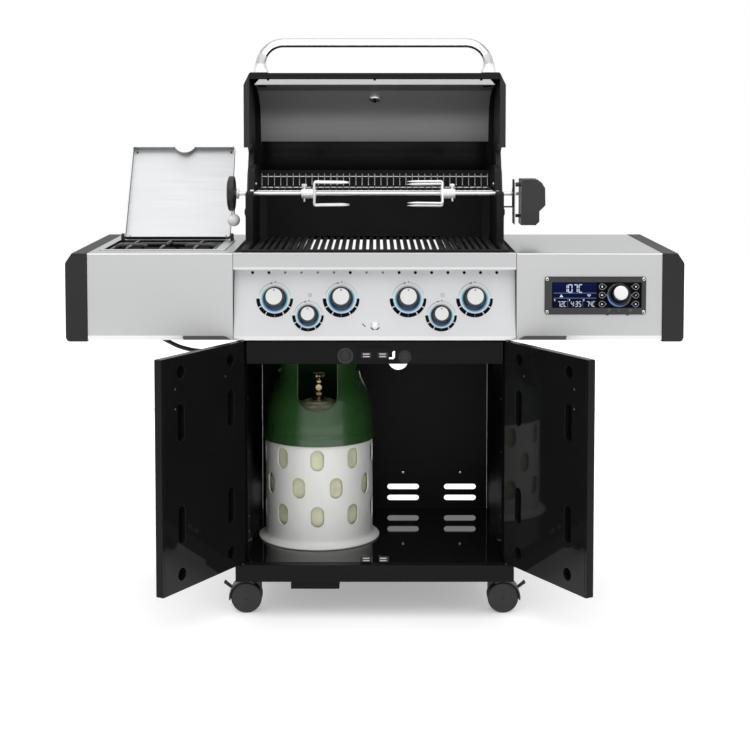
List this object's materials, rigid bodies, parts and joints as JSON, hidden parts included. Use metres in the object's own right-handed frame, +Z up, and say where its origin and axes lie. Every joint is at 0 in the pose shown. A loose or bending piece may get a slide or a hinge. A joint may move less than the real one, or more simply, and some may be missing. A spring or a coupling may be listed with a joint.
{
  "type": "gas barbecue grill",
  "caption": "Gas barbecue grill on a cabinet cart, hood open, with side burner, rotisserie, lit control knobs, digital controller, open doors and a gas bottle inside.",
  "frame": {"origin": "on the floor, under the middle of the object's box as it stands with its hood, side-burner lid and doors open", "axes": "+X across the front towards the controller side, -Y out of the front, +Z up"},
  "size_m": [1.575, 0.933, 1.5035],
  "materials": {
    "stainless": "brushed, brushing runs left to right",
    "stainless_panel": "brushed, a little brighter",
    "stainless_inner": "satin, lightly marked by heat",
    "chrome": "polished",
    "wire_chrome": "plated wire",
    "black_steel": "semi-gloss powder coat",
    "black_enamel": "gloss enamel",
    "cast_dark": "fine-textured heat-proof paint",
    "cast_iron": "matt enamelled iron",
    "dark_plastic": "fine grain",
    "knob_metal": "satin face, polished sides",
    "display": "gloss black glass in a dark frame",
    "white_shell": "smooth moulded",
    "green_shell": "gloss moulded",
    "vessel": "translucent resin over glass fibre",
    "brass": "machined",
    "hose_rubber": "smooth",
    "switch_red": "gloss moulded"
  },
  "bodies": {
    "cart": {"base_tray": "black_steel", "side_panel_left": "black_steel", "side_panel_right": "black_steel", "back_panel": "black_steel", "front_rail": "black_steel", "firebox": "cast_dark", "fascia": "stainless_panel", "shelf_left": "stainless", "shelf_right": "stainless", "end_cap_left": "dark_plastic", "end_cap_right": "dark_plastic", "side_burner_bowl": "black_enamel", "side_burner_grate": "cast_iron", "burner_set": "stainless_inner", "flame_tamers": "stainless_inner", "grid_left": "cast_iron", "grid_right": "cast_iron", "warming_rack": "wire_chrome", "rack_fence": "wire_chrome", "display_module": "display", "motor_bracket": "black_steel", "motor": "dark_plastic", "side_burner_hose": "hose_rubber"},
    "lid": {"lid_skin": "stainless", "lid_liner": "stainless_inner", "lid_cap_left": "cast_dark", "lid_cap_right": "cast_dark", "lid_handle": "chrome", "lid_thermometer": "knob_metal"},
    "side_lid": {"side_burner_lid": "stainless"},
    "left_door": {"door_left": "black_steel"},
    "right_door": {"door_right": "black_steel"},
    "spit": {"spit_rod": "chrome", "spit_collar": "chrome", "spit_grip": "dark_plastic"},
    "rocker": {"motor_switch": "switch_red"},
    "button": {"igniter_button": "stainless"},
    "bottle": {"bottle_top": "green_shell", "bottle_shroud": "white_shell", "bottle_vessel": "vessel", "bottle_valve": "brass"},
    "bottle_tap": {"bottle_valve_wheel": "brass"},
    "tray": {"grease_tray": "stainless"},
    "dial": {"controller_knob": "knob_metal"},
    "gas_knob_1": {"knob_1": "knob_metal"},
    "gas_knob_2": {"knob_2": "knob_metal"},
    "gas_knob_3": {"knob_3": "knob_metal"},
    "gas_knob_4": {"knob_4": "knob_metal"},
    "small_knob_left": {"knob_small_left": "knob_metal"},
    "small_knob_right": {"knob_small_right": "knob_metal"},
    "caster_front_left": {"caster_fork_front_left": "dark_plastic"},
    "wheel_front_left": {"caster_wheel_front_left": "dark_plastic"},
    "brake_left": {"brake_lever_left": "dark_plastic"},
    "caster_front_right": {"caster_fork_front_right": "dark_plastic"},
    "wheel_front_right": {"caster_wheel_front_right": "dark_plastic"},
    "brake_right": {"brake_lever_right": "dark_plastic"},
    "caster_rear_left": {"caster_fork_rear_left": "dark_plastic"},
    "wheel_rear_left": {"caster_wheel_rear_left": "dark_plastic"},
    "caster_rear_right": {"caster_fork_rear_right": "dark_plastic"},
    "wheel_rear_right": {"caster_wheel_rear_right": "dark_plastic"}
  },
  "joints": [
    {"name": "lid_hinge", "type": "hinge", "parent": "cart", "child": "lid", "pos_m": [0, 0.2445, 1.02], "axis": [1, 0, 0], "range_deg": [0, 90]},
    {"name": "side_lid_hinge", "type": "hinge", "parent": "cart", "child": "side_lid", "pos_m": [-0.544, 0.1695, 0.955], "axis": [1, 0, 0], "range_deg": [0, 125]},
    {"name": "left_door_hinge", "type": "hinge", "parent": "cart", "child": "left_door", "pos_m": [-0.338, -0.1755, 0.43], "axis": [0, 0, 1], "range_deg": [0, 120]},
    {"name": "right_door_hinge", "type": "hinge", "parent": "cart", "child": "right_door", "pos_m": [0.338, -0.1755, 0.43], "axis": [0, 0, -1], "range_deg": [0, 120]},
    {"name": "gas_knob_1_turn", "type": "hinge", "parent": "cart", "child": "gas_knob_1", "pos_m": [-0.2559, -0.151, 0.8255], "axis": [0, -0.9667, 0.2561], "range_deg": [0, 220]},
    {"name": "gas_knob_2_turn", "type": "hinge", "parent": "cart", "child": "gas_knob_2", "pos_m": [-0.0857, -0.151, 0.8255], "axis": [0, -0.9667, 0.2561], "range_deg": [0, 220]},
    {"name": "gas_knob_3_turn", "type": "hinge", "parent": "cart", "child": "gas_knob_3", "pos_m": [0.0857, -0.151, 0.8255], "axis": [0, -0.9667, 0.2561], "range_deg": [0, 220]},
    {"name": "gas_knob_4_turn", "type": "hinge", "parent": "cart", "child": "gas_knob_4", "pos_m": [0.2559, -0.151, 0.8255], "axis": [0, -0.9667, 0.2561], "range_deg": [0, 220]},
    {"name": "small_knob_left_turn", "type": "hinge", "parent": "cart", "child": "small_knob_left", "pos_m": [-0.1701, -0.16212, 0.7835], "axis": [0, -0.9667, 0.2561], "range_deg": [0, 220]},
    {"name": "small_knob_right_turn", "type": "hinge", "parent": "cart", "child": "small_knob_right", "pos_m": [0.1701, -0.16212, 0.7835], "axis": [0, -0.9667, 0.2561], "range_deg": [0, 220]},
    {"name": "dial_turn", "type": "hinge", "parent": "cart", "child": "dial", "pos_m": [0.622, -0.1755, 0.8385], "axis": [0, -0.9667, 0.2561], "continuous": true},
    {"name": "button_push", "type": "slide", "parent": "cart", "child": "button", "axis": [0, 0.9667, -0.2561], "range_m": [0, 0.003], "stiffness_N_per_m": 500},
    {"name": "spit_spin", "type": "hinge", "parent": "cart", "child": "spit", "pos_m": [0, 0.0765, 1.0815], "axis": [1, 0, 0], "continuous": true},
    {"name": "rocker_tilt", "type": "hinge", "parent": "cart", "child": "rocker", "pos_m": [0.4396, 0.0765, 1.0192], "axis": [0, -1, 0], "range_deg": [0, 14]},
    {"name": "bottle_shift", "type": "slide", "parent": "cart", "child": "bottle", "axis": [0, -1, 0], "range_m": [0, 0.11]},
    {"name": "bottle_tap_turn", "type": "hinge", "parent": "bottle", "child": "bottle_tap", "pos_m": [-0.1524, 0.1115, 0.58], "axis": [0, 0, 1], "range_deg": [0, 720]},
    {"name": "grease_tray_slide", "type": "slide", "parent": "cart", "child": "tray", "axis": [0, 1, 0], "range_m": [0, 0.42]},
    {"name": "caster_front_left_swivel", "type": "hinge", "parent": "cart", "child": "caster_front_left", "pos_m": [-0.303, -0.1135, 0.08], "axis": [0, 0, 1], "continuous": true},
    {"name": "wheel_front_left_roll", "type": "hinge", "parent": "caster_front_left", "child": "wheel_front_left", "pos_m": [-0.334, -0.1135, 0.04], "axis": [0, 1, 0], "continuous": true},
    {"name": "brake_left_press", "type": "hinge", "parent": "caster_front_left", "child": "brake_left", "pos_m": [-0.3736, -0.1135, 0.062], "axis": [0, -1, 0], "range_deg": [0, 25]},
    {"name": "caster_front_right_swivel", "type": "hinge", "parent": "cart", "child": "caster_front_right", "pos_m": [0.303, -0.1135, 0.08], "axis": [0, 0, 1], "continuous": true},
    {"name": "wheel_front_right_roll", "type": "hinge", "parent": "caster_front_right", "child": "wheel_front_right", "pos_m": [0.334, -0.1135, 0.04], "axis": [0, 1, 0], "continuous": true},
    {"name": "brake_right_press", "type": "hinge", "parent": "caster_front_right", "child": "brake_right", "pos_m": [0.3736, -0.1135, 0.062], "axis": [0, 1, 0], "range_deg": [0, 25]},
    {"name": "caster_rear_left_swivel", "type": "hinge", "parent": "cart", "child": "caster_rear_left", "pos_m": [-0.303, 0.3265, 0.08], "axis": [0, 0, 1], "continuous": true},
    {"name": "wheel_rear_left_roll", "type": "hinge", "parent": "caster_rear_left", "child": "wheel_rear_left", "pos_m": [-0.334, 0.3265, 0.04], "axis": [0, 1, 0], "continuous": true},
    {"name": "caster_rear_right_swivel", "type": "hinge", "parent": "cart", "child": "caster_rear_right", "pos_m": [0.303, 0.3265, 0.08], "axis": [0, 0, 1], "continuous": true},
    {"name": "wheel_rear_right_roll", "type": "hinge", "parent": "caster_rear_right", "child": "wheel_rear_right", "pos_m": [0.334, 0.3265, 0.04], "axis": [0, 1, 0], "continuous": true}
  ]
}
